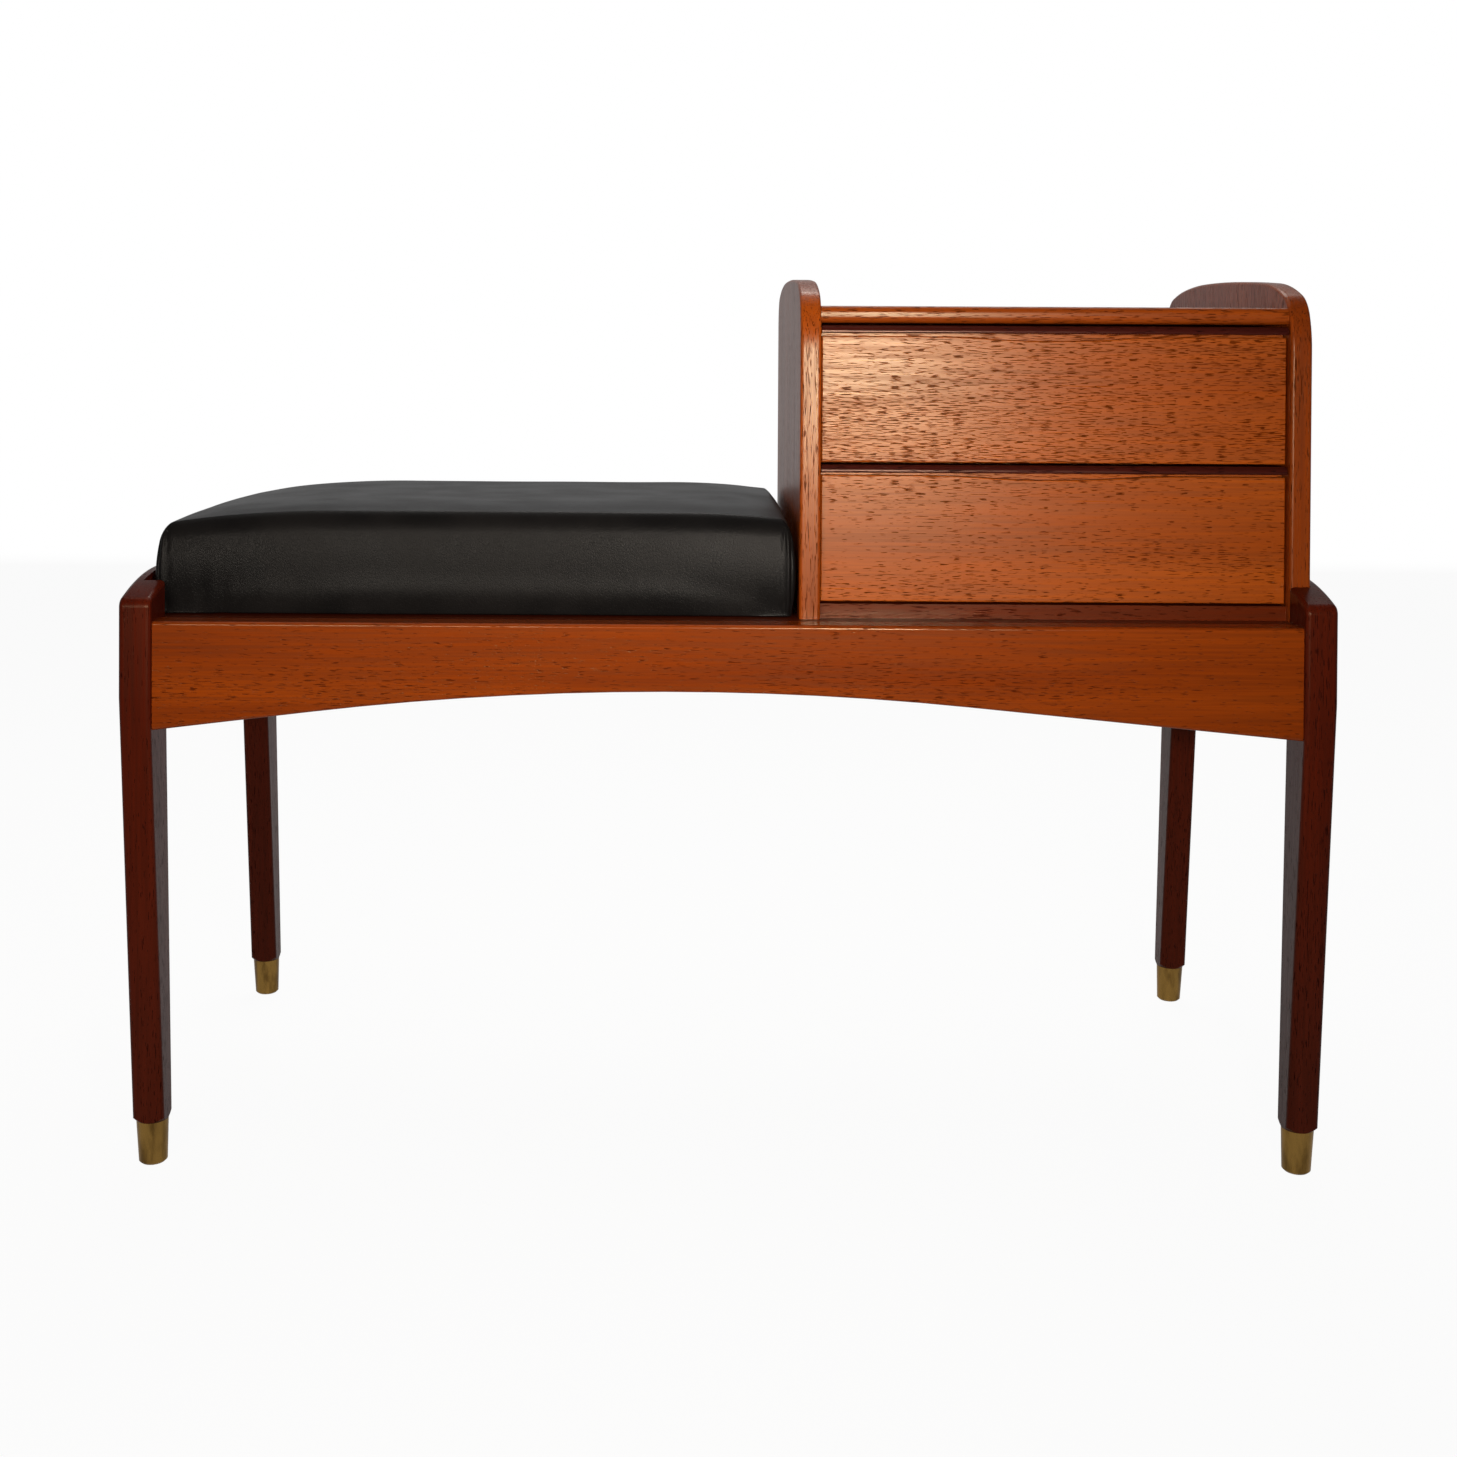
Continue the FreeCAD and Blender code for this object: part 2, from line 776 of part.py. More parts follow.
def runner_screws(bottom):
    """Screws through a drawer's two runners into the side panels."""
    z = runner_mid(bottom)
    reach = drawer_side_gap + runner_slot_depth - runner_slack
    screws = []
    for y in spread(face_back, back_inner, runner_screw_inset):
        screws.append(screw(V(opening_left + reach, y, z), V(-1, 0, 0), reach + screw_bite))
        screws.append(screw(V(opening_right - reach, y, z), V(1, 0, 0), reach + screw_bite))
    return screws


def runner(wall_x, inward, bottom):
    """Strip on a side panel that carries a drawer by the slot in its side and stops it when shut."""
    reach = drawer_side_gap + runner_slot_depth - runner_slack
    x0, x1 = sorted((wall_x, wall_x + inward * reach))
    z = runner_mid(bottom)
    return block(x0, x1, face_back + fit_gap, back_inner - fit_gap,
                 z - runner_height / 2, z + runner_height / 2)


def make_box(nodes):
    """Side, top, bottom and back panels, runners and what holds them."""
    pins = back_pins(0)
    pin_holes = back_pins(dowel_slack)
    dowel_holes = box_dowels(box_dowel_width + 2 * dowel_slack, dowel_slack)
    fixings = fixing_screws(spread(opening_left, opening_right, box_screw_inset),
                            spread(box_front, box_back, box_screw_inset), base_height + screw_bite)
    slides = runner_screws(lower_drawer_bottom) + runner_screws(upper_drawer_bottom)
    bottom = block(opening_left, opening_right, box_front + bottom_setback, back_inner,
                   base_height, opening_bottom)
    back = block(opening_left - back_let_in + fit_gap, opening_right + back_let_in - fit_gap,
                 back_inner, box_back, base_height, back_top)

    nodes["base_panel"] = nodes["base_panel"].cut(fixings)
    for side, x0, inner_x in (("left", box_left, opening_left),
                              ("right", opening_right, opening_right)):
        panel = side_panel(x0, inner_x)
        nodes[side + "_side_panel"] = panel.cut(dowel_holes + pin_holes + slides)
    nodes["top_panel"] = top_panel().cut(dowel_holes + pin_holes)
    nodes["bottom_panel"] = bottom.cut(dowel_holes + pin_holes + fixings)
    nodes["back_panel"] = back.cut(pin_holes)
    for level, bottom_z in (("lower", lower_drawer_bottom), ("upper", upper_drawer_bottom)):
        nodes[level + "_left_runner"] = runner(opening_left, 1, bottom_z).cut(slides)
        nodes[level + "_right_runner"] = runner(opening_right, -1, bottom_z).cut(slides)
    nodes["box_dowels"] = joined(box_dowels(box_dowel_width, 0))
    nodes["back_pins"] = joined(pins)
    nodes["box_screws"] = joined(fixings)
    nodes["runner_screws"] = joined(slides)


# Drawers

def tails(x0, bottom):
    """Dovetails on the front end of a drawer side."""
    low = bottom + drawer_side_lift
    pitch = drawer_side_height / tail_count
    flare = tail_length * math.tan(math.radians(tail_angle))
    solids = []
    for index in range(tail_count):
        z = low + pitch * (index + 0.5)
        outline = [
            V(x0, face_back, z - tail_neck / 2),
            V(x0, face_back, z + tail_neck / 2),
            V(x0, face_back - tail_length, z + tail_neck / 2 + flare),
            V(x0, face_back - tail_length, z - tail_neck / 2 - flare),
        ]
        solids.append(prism(outline, V(drawer_side_thickness, 0, 0)))
    return solids


def bell_dip(face_top):
    """Shallow dip in the face's top edge: one long arc eased in by two more of the same radius."""
    quarter = dip_width / 4
    half = dip_depth / 2
    radius = (quarter ** 2 + half ** 2) / (2 * half)
    half_turn = math.asin(quarter / radius) / 2
    shift, sag = radius * math.sin(half_turn), radius * (1 - math.cos(half_turn))
    middle_x = (drawer_left + drawer_right) / 2

    def at(x, drop):
        return V(middle_x + x, face_front - fit_gap, face_top - drop)

    def ease(sign):
        return arc(at(sign * 2 * quarter, 0), at(sign * (2 * quarter - shift), sag),
                   at(sign * quarter, half))

    outline = Part.Wire([
        line(at(-2 * quarter, -groove_mouth), at(-2 * quarter, 0)),
        ease(-1),
        arc(at(-quarter, half), at(0, dip_depth), at(quarter, half)),
        ease(1),
        line(at(2 * quarter, 0), at(2 * quarter, -groove_mouth)),
        line(at(2 * quarter, -groove_mouth), at(-2 * quarter, -groove_mouth)),
    ])
    return Part.Face(outline).extrude(V(0, groove_depth + fit_gap, 0))


def drawer_front(bottom):
    """Front with a finger groove under the lip that opens into a dip at its middle."""
    lip_bottom = bottom + drawer_height - lip_height
    face_top = lip_bottom - groove_mouth
    step = face_front + groove_depth

    def at(y, z):
        return V(drawer_left, y, z)

    outline = [
        at(face_front, bottom),
        at(face_back, bottom),
        at(face_back, lip_bottom),
        at(step, lip_bottom),
        at(step, face_top),
        at(face_front, face_top),
    ]
    front = prism(outline, V(drawer_right - drawer_left, 0, 0))

    def is_face_edge(edge):
        return lies_at(edge, "Y", face_front)

    return rounded(front.cut(bell_dip(face_top)), front_arris, is_face_edge)


def drawer_lip(bottom):
    """Hardwood pull glued along the top of the front, its rounded nose proud of the face."""
    top = bottom + drawer_height
    nose = face_front - lip_proud
    lip = block(drawer_left, drawer_right, nose, face_back, top - lip_height, top)

    def is_top(edge):
        return lies_at(edge, "Y", nose) and lies_at(edge, "Z", top)

    def is_under(edge):
        return lies_at(edge, "Y", nose) and lies_at(edge, "Z", top - lip_height)

    return rounded(rounded(lip, lip_round, is_top), lip_under_round, is_under)


def drawer_side(x0, outer_x, bottom):
    """Side with dovetails in front and a slot for the runner in its outer face."""
    low = bottom + drawer_side_lift
    side = block(x0, x0 + drawer_side_thickness, face_back, drawer_end,
                 low, low + drawer_side_height)
    z = runner_mid(bottom)
    slot = block(outer_x - runner_slot_depth, outer_x + runner_slot_depth, face_back, drawer_end,
                 z - runner_slot_height / 2, z + runner_slot_height / 2)
    return side.cut(slot).fuse(tails(x0, bottom))


def make_drawer(nodes, level, bottom):
    """One drawer: front, lip, two sides, back and bottom."""
    inner_left = drawer_left + drawer_side_thickness
    inner_right = drawer_right - drawer_side_thickness
    low = bottom + drawer_side_lift
    panel_z = low + drawer_bottom_lift
    panel_top = panel_z + drawer_bottom_thickness
    back_y1 = drawer_end - drawer_back_inset
    back_y0 = back_y1 - drawer_side_thickness

    let_in = drawer_bottom_let_in
    slack = drawer_bottom_slack
    panel = block(inner_left - let_in, inner_right + let_in, face_back - let_in, back_y1,
                  panel_z, panel_top)
    groove = block(inner_left - let_in - slack, inner_right + let_in + slack,
                   face_back - let_in - slack, drawer_end, panel_z - slack, panel_top + slack)
    back = block(inner_left - drawer_back_let_in, inner_right + drawer_back_let_in,
                 back_y0, back_y1, panel_top, low + drawer_side_height)
    right_x0 = drawer_right - drawer_side_thickness
    sockets = tails(drawer_left, bottom) + tails(right_x0, bottom)

    nodes.update({
        level + "_drawer_front": drawer_front(bottom).cut(sockets + [groove]),
        level + "_drawer_lip": drawer_lip(bottom),
        level + "_drawer_left_side": drawer_side(drawer_left, drawer_left, bottom).cut([groove, back]),
        level + "_drawer_right_side": drawer_side(right_x0, drawer_right, bottom).cut([groove, back]),
        level + "_drawer_back": back,
        level + "_drawer_bottom": panel,
    })


def main():
    nodes = make_frame()
    make_base(nodes)
    make_seat(nodes)
    make_box(nodes)
    make_drawer(nodes, "lower", lower_drawer_bottom)
    make_drawer(nodes, "upper", upper_drawer_bottom)
    os.makedirs("parts", exist_ok=True)
    for name, shape in nodes.items():
        shape.exportStep("parts/" + name + ".step")
        valid = "valid" if shape.isValid() else "NOT VALID"
        print(name, len(shape.Solids), "solids", round(shape.Volume / 1000, 1), "cm3", valid)


main()
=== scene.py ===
import json
import math

import bmesh
import bpy
from mathutils import Matrix, Vector, noise


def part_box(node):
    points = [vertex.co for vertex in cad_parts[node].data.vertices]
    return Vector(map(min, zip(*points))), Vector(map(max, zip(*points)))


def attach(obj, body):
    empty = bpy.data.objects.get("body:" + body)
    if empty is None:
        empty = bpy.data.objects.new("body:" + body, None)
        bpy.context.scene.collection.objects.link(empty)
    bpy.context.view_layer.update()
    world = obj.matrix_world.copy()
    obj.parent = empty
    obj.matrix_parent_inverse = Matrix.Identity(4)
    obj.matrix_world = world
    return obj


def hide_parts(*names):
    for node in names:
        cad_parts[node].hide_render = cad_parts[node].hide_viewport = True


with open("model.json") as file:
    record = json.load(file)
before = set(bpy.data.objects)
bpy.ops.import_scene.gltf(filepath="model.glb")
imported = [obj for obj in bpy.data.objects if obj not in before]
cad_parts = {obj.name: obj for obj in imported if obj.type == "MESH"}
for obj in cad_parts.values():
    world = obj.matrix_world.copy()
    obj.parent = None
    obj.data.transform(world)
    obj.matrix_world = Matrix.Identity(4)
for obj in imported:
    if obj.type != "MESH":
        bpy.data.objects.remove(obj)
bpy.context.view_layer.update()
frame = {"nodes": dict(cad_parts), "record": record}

# Looks of the telephone bench: materials, the soft seat cushion, camera, light and floor.
# Metres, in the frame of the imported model: +X to the right, +Y to the back, +Z up.

nodes = frame["nodes"]

# Camera, with angles in degrees and lens and sensor in millimetres
camera_place = (-0.0258, -1.4958, 0.6039)
camera_yaw = -0.44
camera_pitch = 0.66
camera_roll = 0.30
camera_lens = 43.6
camera_sensor = 36.0
camera_shift = (0.0336, -0.239)

# Lamps: the key puts the glare on the upper drawer, the fill lights the seat's front
warm = (1.0, 0.90, 0.78)
soft_white = (1.0, 0.97, 0.94)
lamps = {
    "key": dict(place=(0.22, -1.50, 0.61), target=(0.0, -0.15, 0.58), size=(0.16, 0.12),
                spread=80.0, power=3.25, colour=warm),
    "fill": dict(place=(-0.50, -1.50, 0.62), target=(-0.25, -0.15, 0.50), size=(0.60, 0.16),
                 spread=80.0, power=1.7, colour=warm),
    "top": dict(place=(-0.2, 0.3, 2.3), target=(0.0, 0.0, 0.4), size=(1.6, 1.6),
                spread=120.0, power=4.0, colour=soft_white),
    "back": dict(place=(0.2, 1.5, 2.5), target=(0.0, 0.15, 0.40), size=(2.0, 0.8),
                 spread=120.0, power=11.0, colour=soft_white),
}

# Backdrop and floor
room_strength = 0.07
mirrored_white = 0.40
backdrop_behind = (-0.35, 0.25)
backdrop_low = (0.75, 0.30)
floor_reach = 12.0
floor_white = 0.95
floor_colour = (0.9, 0.9, 0.9)
floor_bounce = (0.35, 0.35, 0.35)
floor_mirrored_from = (-1.3, -0.5)
floor_all_white_from = (1.0, 4.0)


# Node graphs

class Graph:
    """Shader nodes of one tree, made one call at a time."""

    def __init__(self, tree):
        self.nodes = tree.nodes
        self.links = tree.links

    def add(self, kind, **settings):
        node = self.nodes.new("ShaderNode" + kind)
        for name, value in settings.items():
            setattr(node, name, value)
        return node

    def feed(self, socket, value):
        """Links an output to a socket, or sets the socket's own value."""
        if isinstance(value, bpy.types.NodeSocket):
            self.links.new(value, socket)
        else:
            socket.default_value = value

    def fill(self, node, **values):
        """Feeds a node's sockets by name; an underscore stands for a space."""
        for name, value in values.items():
            self.feed(node.inputs[name.replace("_", " ")], value)

    def place(self, along, stretch, cross):
        """Object coordinates with the grain axis first, scaled along it and across it."""
        split = self.add("SeparateXYZ")
        self.fill(split, Vector=self.add("TexCoord").outputs["Object"])
        joined = self.add("CombineXYZ")
        axes = [along] + [axis for axis in "XYZ" if axis != along]
        for socket, axis in zip(joined.inputs, axes):
            self.feed(socket, split.outputs[axis])
        scaled = self.add("VectorMath", operation="MULTIPLY")
        self.feed(scaled.inputs[0], joined.outputs[0])
        self.feed(scaled.inputs[1], (stretch, cross, cross))
        return scaled.outputs[0]

    def warp(self, vector, scale, amount):
        """Vector moved about by a slow noise."""
        texture = self.add("TexNoise")
        self.fill(texture, Scale=scale, Detail=2.0, Vector=vector)
        moved = self.add("VectorMath", operation="MULTIPLY_ADD")
        self.feed(moved.inputs[0], texture.outputs["Color"])
        self.feed(moved.inputs[1], (amount,) * 3)
        self.feed(moved.inputs[2], vector)
        return moved.outputs[0]

    def noise(self, vector, scale=1.0, detail=2.0, roughness=0.5):
        texture = self.add("TexNoise")
        self.fill(texture, Scale=scale, Detail=detail, Roughness=roughness, Vector=vector)
        return texture.outputs["Fac"]

    def cells(self, vector, scale, feature):
        texture = self.add("TexVoronoi", feature=feature)
        self.fill(texture, Scale=scale, Vector=vector)
        return texture.outputs["Distance"]

    def between(self, value, low, high, to_low=0.0, to_high=1.0):
        """Smooth step of a value from one range to another."""
        step = self.add("MapRange", interpolation_type="SMOOTHSTEP")
        self.fill(step, Value=value, From_Min=low, From_Max=high, To_Min=to_low, To_Max=to_high)
        return step.outputs["Result"]

    def along_axis(self, coordinate, axis, low, high):
        """Smooth step from nought to one along one axis of a coordinate."""
        split = self.add("SeparateXYZ")
        self.fill(split, Vector=coordinate)
        return self.between(split.outputs[axis], low, high)

    def math(self, operation, first, second):
        sum_node = self.add("Math", operation=operation)
        self.feed(sum_node.inputs[0], first)
        self.feed(sum_node.inputs[1], second)
        return sum_node.outputs[0]

    def grey(self, value):
        """A value as a grey colour."""
        node = self.add("CombineColor")
        for socket in node.inputs:
            self.feed(socket, value)
        return node.outputs[0]

    def mix(self, factor, first, second, blend="MIX"):
        """Mix of two colours."""
        mixer = self.add("Mix", data_type="RGBA", blend_type=blend)
        self.fill(mixer, Factor=factor)
        colours = [socket for socket in mixer.inputs if socket.type == "RGBA"]
        self.feed(colours[0], rgba(first))
        self.feed(colours[1], rgba(second))
        return next(socket for socket in mixer.outputs if socket.type == "RGBA")

    def bump(self, height, distance, strength):
        node = self.add("Bump")
        self.fill(node, Distance=distance, Strength=strength, Height=height)
        return node.outputs["Normal"]


class Finish(Graph):
    """A new material's nodes, round its Principled shader."""

    def __init__(self, name):
        self.material = bpy.data.materials.new(name)
        self.material.use_nodes = True
        super().__init__(self.material.node_tree)
        self.shader = self.nodes["Principled BSDF"]

    def set(self, **values):
        self.fill(self.shader, **values)


def rgba(colour):
    """A colour with its alpha, or an output as it is."""
    if isinstance(colour, bpy.types.NodeSocket):
        return colour
    return (*colour, 1.0)


# Materials

# Noise scales along and across the grain, and the depth of each relief in metres
band_scale = (1.6, 28.0)
fibre_scale = (9.0, 420.0)
pore_scale = (105.0, 1300.0)
crowd_scale = (4.0, 26.0)
wood_relief = 0.00012
tarnish_scale = (30.0, 110.0)
polish_scale = (30.0, 900.0)
brass_relief = 0.00002
steel_scale = (400.0, 400.0)
pebble_scale = 1100.0
crease_scale = 420.0
cloud_scale = 22.0
leather_relief = 0.00012


def wood(name, along, light, dark, pore, pores=1.0, figure=1.0, roughness=0.31, specular=0.3,
         tint=(0.90, 0.95, 0.72)):
    """Straight-grained wood: slow bands, fine fibre and short dark pores along the grain."""
    graph = Finish(name)
    bands = graph.noise(graph.warp(graph.place(along, *band_scale), 0.35, 0.8), detail=4.0)
    fibre = graph.noise(graph.place(along, *fibre_scale), detail=3.0, roughness=0.65)
    dashes = graph.noise(graph.place(along, *pore_scale), detail=1.0)
    crowd = graph.noise(graph.place(along, *crowd_scale), detail=2.0)
    threshold = graph.between(crowd, 0.3, 0.7, 0.70 - 0.05 * pores, 0.62 - 0.05 * pores)
    pore_mask = graph.between(graph.math("SUBTRACT", dashes, threshold), 0.0, 0.045)

    colour = graph.mix(graph.between(bands, 0.5 - 0.28 / figure, 0.5 + 0.28 / figure), light, dark)
    colour = graph.mix(1.0, colour, graph.grey(graph.between(fibre, 0.3, 0.7, 0.82, 1.12)), "MULTIPLY")
    colour = graph.mix(graph.math("MULTIPLY", pore_mask, 0.85), colour, pore)
    shine = graph.between(pore_mask, 0.0, 1.0, specular, 0.15 * specular)
    rough = graph.between(fibre, 0.25, 0.75, roughness + 0.05, roughness - 0.04)
    height = graph.math("SUBTRACT", graph.math("MULTIPLY", fibre, 0.35), pore_mask)
    graph.set(Base_Color=colour, Roughness=rough, Normal=graph.bump(height, wood_relief, 0.7),
              Specular_IOR_Level=shine, Specular_Tint=rgba(tint))
    return graph.material


def brass():
    """Aged brass: streaks of polish along the leg and brown tarnish in patches."""
    graph = Finish("brass")
    tarnish = graph.between(graph.noise(graph.place("Z", *tarnish_scale), detail=4.0), 0.40, 0.70)
    streaks = graph.noise(graph.place("Z", *polish_scale), detail=2.0)
    graph.set(Base_Color=graph.mix(tarnish, (0.36, 0.205, 0.052), (0.15, 0.080, 0.020)), Metallic=1.0,
              Roughness=graph.between(streaks, 0.3, 0.7, 0.24, 0.36),
              Normal=graph.bump(streaks, brass_relief, 0.4))
    return graph.material


def steel():
    """Zinc-plated steel of screws and pins."""
    graph = Finish("steel")
    grain = graph.noise(graph.place("X", *steel_scale), detail=3.0)
    colour = graph.mix(graph.between(grain, 0.3, 0.7), (0.42, 0.42, 0.41), (0.56, 0.55, 0.52))
    graph.set(Base_Color=colour, Metallic=1.0, Roughness=graph.between(grain, 0.3, 0.7, 0.32, 0.5))
    return graph.material


def leather():
    """Black leatherette with a fine pebbled grain."""
    graph = Finish("black_leather")
    where = graph.place("X", 1.0, 1.0)
    pebbles = graph.cells(graph.warp(where, 300.0, 0.0016), pebble_scale, "F1")
    creases = graph.cells(graph.warp(where, 260.0, 0.002), crease_scale, "DISTANCE_TO_EDGE")
    cloud = graph.noise(where, cloud_scale, 3.0)
    colour = graph.mix(graph.between(cloud, 0.3, 0.7), (0.0055, 0.0052, 0.0054), (0.0085, 0.0078, 0.0078))
    height = graph.math("ADD", graph.math("MULTIPLY", pebbles, -0.6),
                        graph.between(creases, 0.0, 0.12, -0.5, 0.0))
    graph.set(Base_Color=colour, Roughness=graph.between(cloud, 0.3, 0.7, 0.32, 0.38),
              Specular_IOR_Level=0.068, Normal=graph.bump(height, leather_relief, 0.6))
    return graph.material


wood_looks = {
    "leg_wood": dict(light=(0.088, 0.009, 0.0025), dark=(0.050, 0.0045, 0.0015),
                     pore=(0.02, 0.003, 0.002), pores=0.4, roughness=0.30, specular=0.14,
                     tint=(1.0, 0.80, 0.55)),
    "rail_teak": dict(light=(0.27, 0.044, 0.002), dark=(0.19, 0.027, 0.0015),
                      pore=(0.07, 0.010, 0.001), pores=0.6, figure=1.3, roughness=0.22, specular=0.28,
                      tint=(1.0, 0.85, 0.55)),
    "box_teak": dict(light=(0.33, 0.060, 0.004), dark=(0.22, 0.034, 0.002),
                     pore=(0.06, 0.010, 0.001), pores=0.8, roughness=0.29, specular=0.24),
    # Darker copy of the box teak for the bottom panel: painted shade, standing in for the shade that falls
    # below the lower drawer
    "painted_shade_teak": dict(light=(0.13, 0.017, 0.002), dark=(0.09, 0.010, 0.001),
                        pore=(0.03, 0.004, 0.001), pores=0.4, roughness=0.30, specular=0.16),
    "drawer_teak": dict(light=(0.40, 0.078, 0.004), dark=(0.29, 0.050, 0.002),
                        pore=(0.06, 0.010, 0.001), pores=0.8, roughness=0.31, specular=0.25),
    "flecked_teak": dict(light=(0.40, 0.078, 0.004), dark=(0.30, 0.052, 0.002),
                         pore=(0.07, 0.012, 0.001), pores=1.9, roughness=0.31, specular=0.27),
    "dark_hardwood": dict(light=(0.060, 0.009, 0.006), dark=(0.032, 0.004, 0.003),
                          pore=(0.010, 0.002, 0.002), pores=0.3, roughness=0.24, specular=0.22,
                          tint=(1.0, 0.65, 0.5)),
    # Base panel teak much darker than the box and rail teak: painted shade for the shadowed gap under the
    # cushion and the box
    "base_veneer": dict(light=(0.12, 0.018, 0.004), dark=(0.08, 0.011, 0.003),
                        pore=(0.03, 0.005, 0.002), pores=0.6, specular=0.1),
    "inner_wood": dict(light=(0.62, 0.43, 0.24), dark=(0.50, 0.32, 0.16),
                       pore=(0.28, 0.16, 0.08), pores=0.3, roughness=0.6),
    "plywood": dict(light=(0.58, 0.39, 0.21), dark=(0.46, 0.29, 0.14),
                    pore=(0.25, 0.14, 0.07), pores=0.5, roughness=0.62),
}
# The bottom panel gets the darker teak as painted shade; the upper drawer front gets denser dark pore
# flecks
own_looks = {"upper_drawer_front": "flecked_teak", "bottom_panel": "painted_shade_teak"}
grain_along = {
    "_leg": "Z", "_end_rail": "Y", "_side_panel": "Z", "drawer_left_side": "Y",
    "drawer_right_side": "Y", "_runner": "Y", "back_panel": "Z",
}
other_looks = {"brass": brass, "steel": steel, "black_leather": leather}
made = {}


def finish_of(look, along=""):
    """The material for a look, made once for each direction of grain."""
    key = (look, along)
    if key not in made:
        if look in wood_looks:
            made[key] = wood(look + "_" + along.lower(), along, **wood_looks[look])
        else:
            made[key] = other_looks[look]()
    return made[key]


def dress_frame():
    """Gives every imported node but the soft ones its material."""
    for part in frame["record"]["subparts"]:
        name, slot_name = part["node"], part["material_slot"]
        if slot_name in ("black_leather", "foam"):
            continue
        look = own_looks.get(name, slot_name)
        along = ""
        if look in wood_looks:
            along = next((axis for ending, axis in grain_along.items() if name.endswith(ending)), "X")
        materials = nodes[name].data.materials
        materials.clear()
        materials.append(finish_of(look, along))


# Seat cushion

cover_low, cover_high = (Vector(corner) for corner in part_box("seat_cover"))

# Rounding, and the grid's lines
corner_round = 0.007
rim_round = 0.016
foot_round = 0.002
edge_steps = 7
line_spacing = 0.006

# Crown and drawn-in sides
sag_radius = 4.5
end_radius = 1.0
left_end_length = 0.145
right_end_length = 0.100
waist = 0.42
foot_draw = 0.0040
rim_draw = 0.0052
side_pull = 0.0004
slack = 0.0002

# Cloth
pressure = 4.0
cloth_quality = 5
last_frame = 20
smoothing_steps = 30
swell_limit = 0.0016
least_move = 1e-9

# Pleats at the corners, and soft folds low down at the left
pleat_lines = (0.0051, 0.0104)
pleat_width = 0.0009
pleat_depth = 0.0011
ridge_width = 0.0016
ridge_height = 0.0005
pleat_foot = 0.006
pleat_top = (0.468, 0.482)
fold_top = (0.425, 0.456)
fold_left = (-0.425, -0.405)
fold_right = (-0.375, -0.345)
fold_scale = (95, 60, 12)
fold_depth = 0.00070
front_fold_depth = 0.00010
uneven_scale = 13
uneven_depth = 0.00030


def ramp(value, low, high):
    """Smooth step from nought to one."""
    share = min(1.0, max(0.0, (value - low) / (high - low)))
    return share * share * (3 - 2 * share)


def pad_lines(low, high, low_round, high_round):
    """Grid lines between two faces, closest round the edges."""
    turns = [1 - math.tan(math.radians(45 - 45 * step / edge_steps)) for step in range(edge_steps + 1)]
    flat_low, flat_high = low + low_round, high - high_round
    count = round((flat_high - flat_low) / line_spacing)
    flat = [flat_low + (flat_high - flat_low) * step / count for step in range(1, count)]
    return [low + low_round * turn for turn in turns] + flat \
        + [high - high_round * turn for turn in reversed(turns)]


def pad_point(place):
    """A point of the grid's box, taken to the crowned pad with rounded edges and drawn-in sides."""
    foot = foot_round if place.z < cover_low.z + foot_round else rim_round
    rounds = Vector((corner_round, corner_round, foot))
    away = Vector((0.0, 0.0, 0.0))
    inner = place.copy()
    for axis in range(3):
        floor = foot_round if axis == 2 else rounds[axis]
        inner[axis] = min(max(place[axis], cover_low[axis] + floor), cover_high[axis] - rounds[axis])
        away[axis] = (place[axis] - inner[axis]) / rounds[axis]
    if away.length > 0:
        away.normalize()
    point = Vector(inner[axis] + away[axis] * rounds[axis] for axis in range(3))

    middle, half = (cover_low + cover_high) / 2, (cover_high - cover_low) / 2
    share = (point.z - cover_low.z) / (2 * half.z)
    inset = slack + foot_draw * max(0.0, 1 - share / waist) ** 2 \
        + rim_draw * (max(0.0, share - waist) / (1 - waist)) ** 2
    across, deep = (point.x - middle.x) / half.x, (point.y - middle.y) / half.y
    pull = side_pull * (1 - across ** 4) * (1 - share)
    end_length = left_end_length if across < 0 else right_end_length
    to_end = max(0.0, abs(point.x - middle.x) - (half.x - end_length))
    fall = (point.y - middle.y) ** 2 / (2 * sag_radius) + to_end ** 2 / (2 * end_radius)
    point.x -= across * inset
    point.y -= deep * (inset + pull)
    point.z -= share * (fall + slack)
    return point


def pad_mesh():
    """Closed grid round the pad."""
    sides = ((0, corner_round, corner_round), (1, corner_round, corner_round), (2, foot_round, rim_round))
    lines = [pad_lines(cover_low[axis], cover_high[axis], low_round, high_round)
             for axis, low_round, high_round in sides]
    last = [len(axis_lines) - 1 for axis_lines in lines]
    mesh = bmesh.new()
    grid = {}

    def vertex(key):
        if key not in grid:
            grid[key] = mesh.verts.new(pad_point(Vector(lines[axis][key[axis]] for axis in range(3))))
        return grid[key]

    for axis in range(3):
        first, second = [other for other in range(3) if other != axis]
        for side in (0, last[axis]):
            for i in range(last[first]):
                for j in range(last[second]):
                    corners = []
                    for step_i, step_j in ((0, 0), (1, 0), (1, 1), (0, 1)):
                        key = [side] * 3
                        key[first], key[second] = i + step_i, j + step_j
                        corners.append(vertex(tuple(key)))
                    mesh.faces.new(corners)
    bmesh.ops.recalc_face_normals(mesh, faces=mesh.faces)
    data = bpy.data.meshes.new("seat_cushion")
    mesh.to_mesh(data)
    mesh.free()
    return data


def take_result(piece):
    """Keeps what the modifiers make as the piece's own mesh, and drops them."""
    graph = bpy.context.evaluated_depsgraph_get()
    data = bpy.data.meshes.new_from_object(piece.evaluated_get(graph))
    piece.modifiers.clear()
    piece.data = data


def evened(mesh, moves):
    """Moves of a mesh's points with short wrinkles taken out, each averaged with its neighbours'."""
    beside = [[] for _ in moves]
    for edge in mesh.edges:
        first, second = edge.vertices
        beside[first].append(second)
        beside[second].append(first)
    for _ in range(smoothing_steps):
        moves = [(move + sum((moves[other] for other in others), Vector()) / len(others)) / 2
                 for move, others in zip(moves, beside)]
    return moves


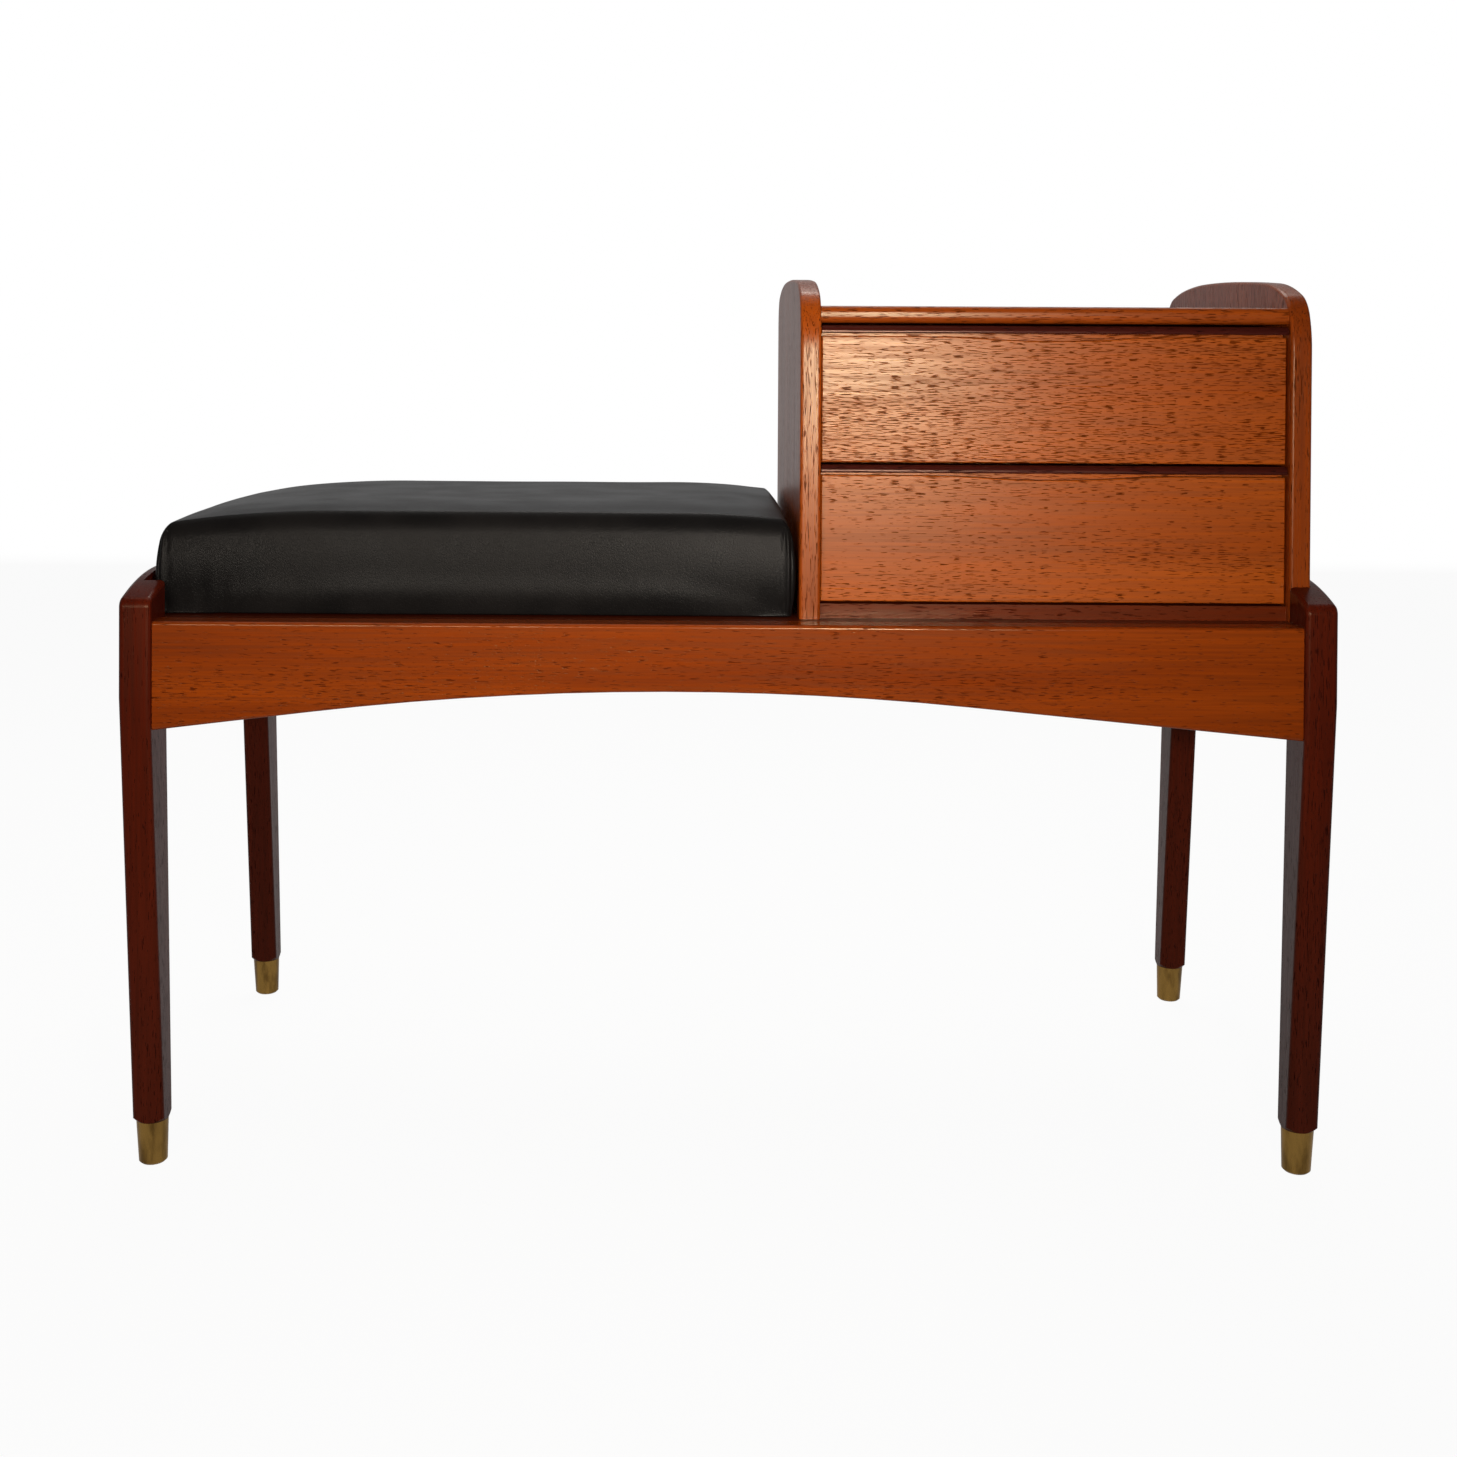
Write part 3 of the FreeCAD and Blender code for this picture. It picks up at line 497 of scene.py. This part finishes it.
def blow_up(piece):
    """Cloth under pressure, held at the foot, each point let out by no more than a limit."""
    before = [vertex.co.copy() for vertex in piece.data.vertices]
    held = piece.vertex_groups.new(name="held")
    foot = cover_low.z + foot_round
    held.add([index for index, place in enumerate(before) if place.z < foot], 1.0, "REPLACE")
    cloth = piece.modifiers.new("cloth", "CLOTH")
    settings = cloth.settings
    settings.vertex_group_mass = "held"
    settings.use_pressure = True
    settings.uniform_pressure_force = pressure
    settings.effector_weights.gravity = 0.0
    settings.quality = cloth_quality
    cloth.point_cache.frame_end = last_frame
    for number in range(1, last_frame + 1):
        bpy.context.scene.frame_set(number)
    take_result(piece)
    bpy.context.scene.frame_set(1)
    moves = evened(piece.data, [vertex.co - start for vertex, start in zip(piece.data.vertices, before)])
    for vertex, start, move in zip(piece.data.vertices, before, moves):
        vertex.co = start + move * min(1.0, swell_limit / max(move.length, least_move))


def crease(point):
    """How far the leather lies below its smooth form, at the corner pleats and in soft folds."""
    from_side = min(point.x - cover_low.x, cover_high.x - point.x)
    from_face = min(point.y - cover_low.y, cover_high.y - point.y)
    upright = ramp(point.z, cover_low.z, cover_low.z + pleat_foot) * (1 - ramp(point.z, *pleat_top))
    depth = 0.0
    if from_face < corner_round:
        for line in pleat_lines:
            depth += pleat_depth * upright * math.exp(-((from_side - line) / pleat_width) ** 2)
        between = sum(pleat_lines) / 2
        depth -= ridge_height * upright * math.exp(-((from_side - between) / ridge_width) ** 2)
    low = 1 - ramp(point.z, *fold_top)
    near_left = ramp(point.x, *fold_left) * (1 - ramp(point.x, *fold_right))
    folds = noise.noise(Vector(scale * place for scale, place in zip(fold_scale, point)))
    depth += folds * (fold_depth * near_left + front_fold_depth) * low
    return depth + uneven_depth * noise.noise(point * uneven_scale)


def settle(piece):
    """Adds the creases and keeps the pad inside the room that it has."""
    normals = [vertex.normal.copy() for vertex in piece.data.vertices]
    for vertex, normal in zip(piece.data.vertices, normals):
        vertex.co -= normal * crease(vertex.co)
        for axis in range(3):
            vertex.co[axis] = min(max(vertex.co[axis], cover_low[axis]), cover_high[axis])


def make_cushion():
    piece = bpy.data.objects.new("seat_cushion", pad_mesh())
    bpy.context.scene.collection.objects.link(piece)
    blow_up(piece)
    piece.modifiers.new("smooth", "SUBSURF").levels = 1
    take_result(piece)
    settle(piece)
    for polygon in piece.data.polygons:
        polygon.use_smooth = True
    piece.data.materials.append(finish_of("black_leather"))
    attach(piece, "bench")
    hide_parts("seat_cover", "seat_foam")


dress_frame()
make_cushion()


# Stage

def area_light(name, place, target, size, spread, power, colour):
    data = bpy.data.lights.new(name, "AREA")
    data.shape = "RECTANGLE"
    data.size, data.size_y = size
    data.spread = math.radians(spread)
    data.energy = power
    data.color = colour
    lamp = bpy.data.objects.new(name, data)
    bpy.context.scene.collection.objects.link(lamp)
    lamp.location = place
    aim = Vector(target) - Vector(place)
    lamp.rotation_euler = aim.to_track_quat("-Z", "Y").to_euler()


def white_seen(graph, behind):
    """One for the camera's rays, and a part of that for glossy and transmission rays behind."""
    path = graph.add("LightPath").outputs
    either = graph.math("MAXIMUM", path["Is Glossy Ray"], path["Is Transmission Ray"])
    mirrored = graph.math("MULTIPLY", graph.math("MULTIPLY", either, behind), mirrored_white)
    return graph.math("MAXIMUM", path["Is Camera Ray"], mirrored)


def make_world():
    """White backdrop for the camera, mirrored behind the object and low down, in a dim room."""
    world = bpy.data.worlds.new("studio")
    bpy.context.scene.world = world
    world.use_nodes = True
    graph = Graph(world.node_tree)
    direction = graph.add("TexCoord").outputs["Generated"]
    behind = graph.math("MULTIPLY", graph.along_axis(direction, "Y", *backdrop_behind),
                        graph.along_axis(direction, "Z", *backdrop_low))
    strength = graph.add("MapRange")
    graph.fill(strength, Value=white_seen(graph, behind), To_Min=room_strength, To_Max=1.0)
    graph.fill(graph.nodes["Background"], Color=rgba((1.0, 1.0, 1.0)), Strength=strength.outputs["Result"])


def make_floor():
    """Plain pale floor that keeps a soft shadow."""
    data = bpy.data.meshes.new("floor")
    corners = [(x, y, 0.0) for x, y in ((-1, -1), (1, -1), (1, 1), (-1, 1))]
    data.from_pydata([Vector(corner) * floor_reach for corner in corners], [], [(0, 1, 2, 3)])
    floor = bpy.data.objects.new("floor", data)
    bpy.context.scene.collection.objects.link(floor)
    graph = Finish("floor")
    seen = graph.add("LightPath").outputs["Is Camera Ray"]
    graph.set(Base_Color=graph.mix(seen, floor_bounce, floor_colour), Roughness=0.8,
              Specular_IOR_Level=0.1)
    place = graph.add("TexCoord").outputs["Object"]
    white = graph.math("MAXIMUM", graph.along_axis(place, "Y", *floor_all_white_from), floor_white)
    mirrored = white_seen(graph, graph.along_axis(place, "Y", *floor_mirrored_from))
    mixer = graph.add("MixShader")
    graph.feed(mixer.inputs[0], graph.math("MULTIPLY", mirrored, white))
    graph.feed(mixer.inputs[1], graph.shader.outputs[0])
    graph.feed(mixer.inputs[2], graph.add("Emission").outputs[0])
    graph.fill(graph.nodes["Material Output"], Surface=mixer.outputs[0])
    data.materials.append(graph.material)


def make_camera():
    """Camera at the photograph's place, turned by yaw, pitch and roll."""
    yaw, pitch, roll = (math.radians(angle) for angle in (camera_yaw, camera_pitch, camera_roll))
    right = Vector((math.cos(yaw), -math.sin(yaw), 0))
    level = Vector((math.sin(yaw), math.cos(yaw), 0))
    ahead = level * math.cos(pitch) - Vector((0, 0, 1)) * math.sin(pitch)
    up = right.cross(ahead)
    across = right * math.cos(roll) + up * math.sin(roll)
    over = up * math.cos(roll) - right * math.sin(roll)
    data = bpy.data.cameras.new("camera")
    data.lens = camera_lens
    data.sensor_width = camera_sensor
    data.shift_x, data.shift_y = camera_shift
    camera = bpy.data.objects.new("camera", data)
    bpy.context.scene.collection.objects.link(camera)
    turn = Matrix((across, over, -ahead)).transposed()
    camera.matrix_world = Matrix.Translation(camera_place) @ turn.to_4x4()
    bpy.context.scene.camera = camera


make_world()
make_floor()
for lamp_name, lamp_values in lamps.items():
    area_light(lamp_name, **lamp_values)
make_camera()
bpy.context.scene.view_settings.view_transform = "Standard"
